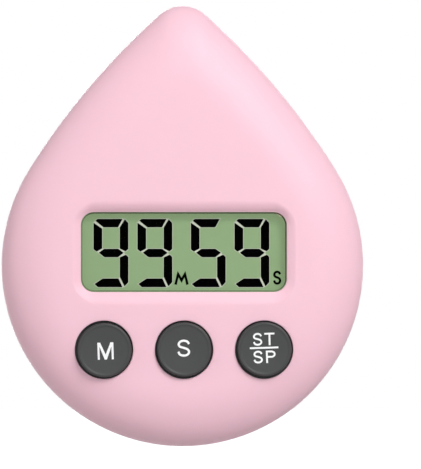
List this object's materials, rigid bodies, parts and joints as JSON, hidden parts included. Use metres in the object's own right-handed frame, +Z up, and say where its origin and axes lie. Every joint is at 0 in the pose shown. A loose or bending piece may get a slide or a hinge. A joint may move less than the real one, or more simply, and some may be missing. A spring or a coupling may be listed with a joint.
{
  "type": "digital shower timer",
  "caption": "Drop-shaped waterproof count-down timer with a display, push buttons, a coin-slot battery door and a suction cup that holds it on a wall.",
  "frame": {"origin": "centre of the suction cup's rim, on the wall's plane", "axes": "+X to the right seen from the front, +Y from the front into the wall, +Z up"},
  "size_m": [0.0698, 0.0362, 0.085],
  "materials": {
    "pink_abs": "fine satin moulded plastic",
    "grey_abs": "satin moulded plastic with white printed letters",
    "white_abs": "satin moulded plastic",
    "clear_acrylic": "polished clear plastic",
    "black_adhesive": "matt foam tape",
    "display_glass": "green liquid crystal glass with black segments",
    "polariser_film": "thin tinted film",
    "silver_film": "silvered diffusing film",
    "zebra_rubber": "striped conductive rubber",
    "translucent_silicone": "translucent silicone",
    "green_board": "green solder mask on glass laminate",
    "black_resin": "black potting resin",
    "ceramic": "fired ceramic",
    "zinc_steel": "bright zinc plate",
    "nickel_plate": "nickel plate",
    "brass_plate": "rolled brass",
    "red_wire": "wire sleeve",
    "black_wire": "wire sleeve",
    "seal_rubber": "matt seal rubber",
    "clear_vinyl": "soft clear vinyl"
  },
  "bodies": {
    "cup": {"suction_cup": "clear_vinyl"},
    "case": {"front_shell": "pink_abs", "rear_shell": "pink_abs", "window_lens": "clear_acrylic", "lens_gasket": "black_adhesive", "lcd_polariser": "polariser_film", "lcd_panel": "display_glass", "lcd_reflector": "silver_film", "lcd_frame": "white_abs", "zebra_strip": "zebra_rubber", "keypad_mat": "translucent_silicone", "main_board": "green_board", "timer_chip": "black_resin", "quartz_crystal": "nickel_plate", "board_capacitor": "ceramic", "board_resistor": "ceramic", "buzzer_disc": "brass_plate", "buzzer_ceramic": "ceramic", "buzzer_lead_red": "red_wire", "buzzer_lead_black": "black_wire", "battery_contact_negative": "nickel_plate", "battery_contact_positive": "nickel_plate", "coin_cell": "nickel_plate", "case_seal": "seal_rubber", "case_screw_tip": "zinc_steel", "case_screw_bottom": "zinc_steel", "case_screw_lower_left": "zinc_steel", "case_screw_lower_right": "zinc_steel", "case_screw_upper_left": "zinc_steel", "case_screw_upper_right": "zinc_steel", "board_screw_upper_left": "zinc_steel", "board_screw_upper_right": "zinc_steel", "board_screw_lower_left": "zinc_steel", "board_screw_lower_right": "zinc_steel"},
    "minutes_button": {"minutes_button": "grey_abs"},
    "seconds_button": {"seconds_button": "grey_abs"},
    "start_stop_button": {"start_stop_button": "grey_abs"},
    "door_ring": {"door_seal": "seal_rubber"},
    "battery_door": {"battery_door": "pink_abs"}
  },
  "joints": [
    {"name": "timer_lift", "type": "slide", "parent": "cup", "child": "case", "axis": [0, 0, 1], "range_m": [0, 0.0095]},
    {"name": "minutes_press", "type": "slide", "parent": "case", "child": "minutes_button", "axis": [0, 1, 0], "range_m": [0, 0.0008], "stiffness_N_per_m": 900, "deforming": ["keypad_mat"]},
    {"name": "seconds_press", "type": "slide", "parent": "case", "child": "seconds_button", "axis": [0, 1, 0], "range_m": [0, 0.0008], "stiffness_N_per_m": 900, "deforming": ["keypad_mat"]},
    {"name": "start_stop_press", "type": "slide", "parent": "case", "child": "start_stop_button", "axis": [0, 1, 0], "range_m": [0, 0.0008], "stiffness_N_per_m": 900, "deforming": ["keypad_mat"]},
    {"name": "door_lift", "type": "slide", "parent": "case", "child": "door_ring", "axis": [0, 1, 0], "range_m": [0, 0.004]},
    {"name": "door_turn", "type": "hinge", "parent": "door_ring", "child": "battery_door", "pos_m": [0, -0.014, -0.031], "axis": [0, 1, 0], "range_deg": [0, 180]}
  ],
  "couplings": [
    {"joint": "door_lift", "follows": "door_turn", "m_per_rad": 0.0012732}
  ]
}
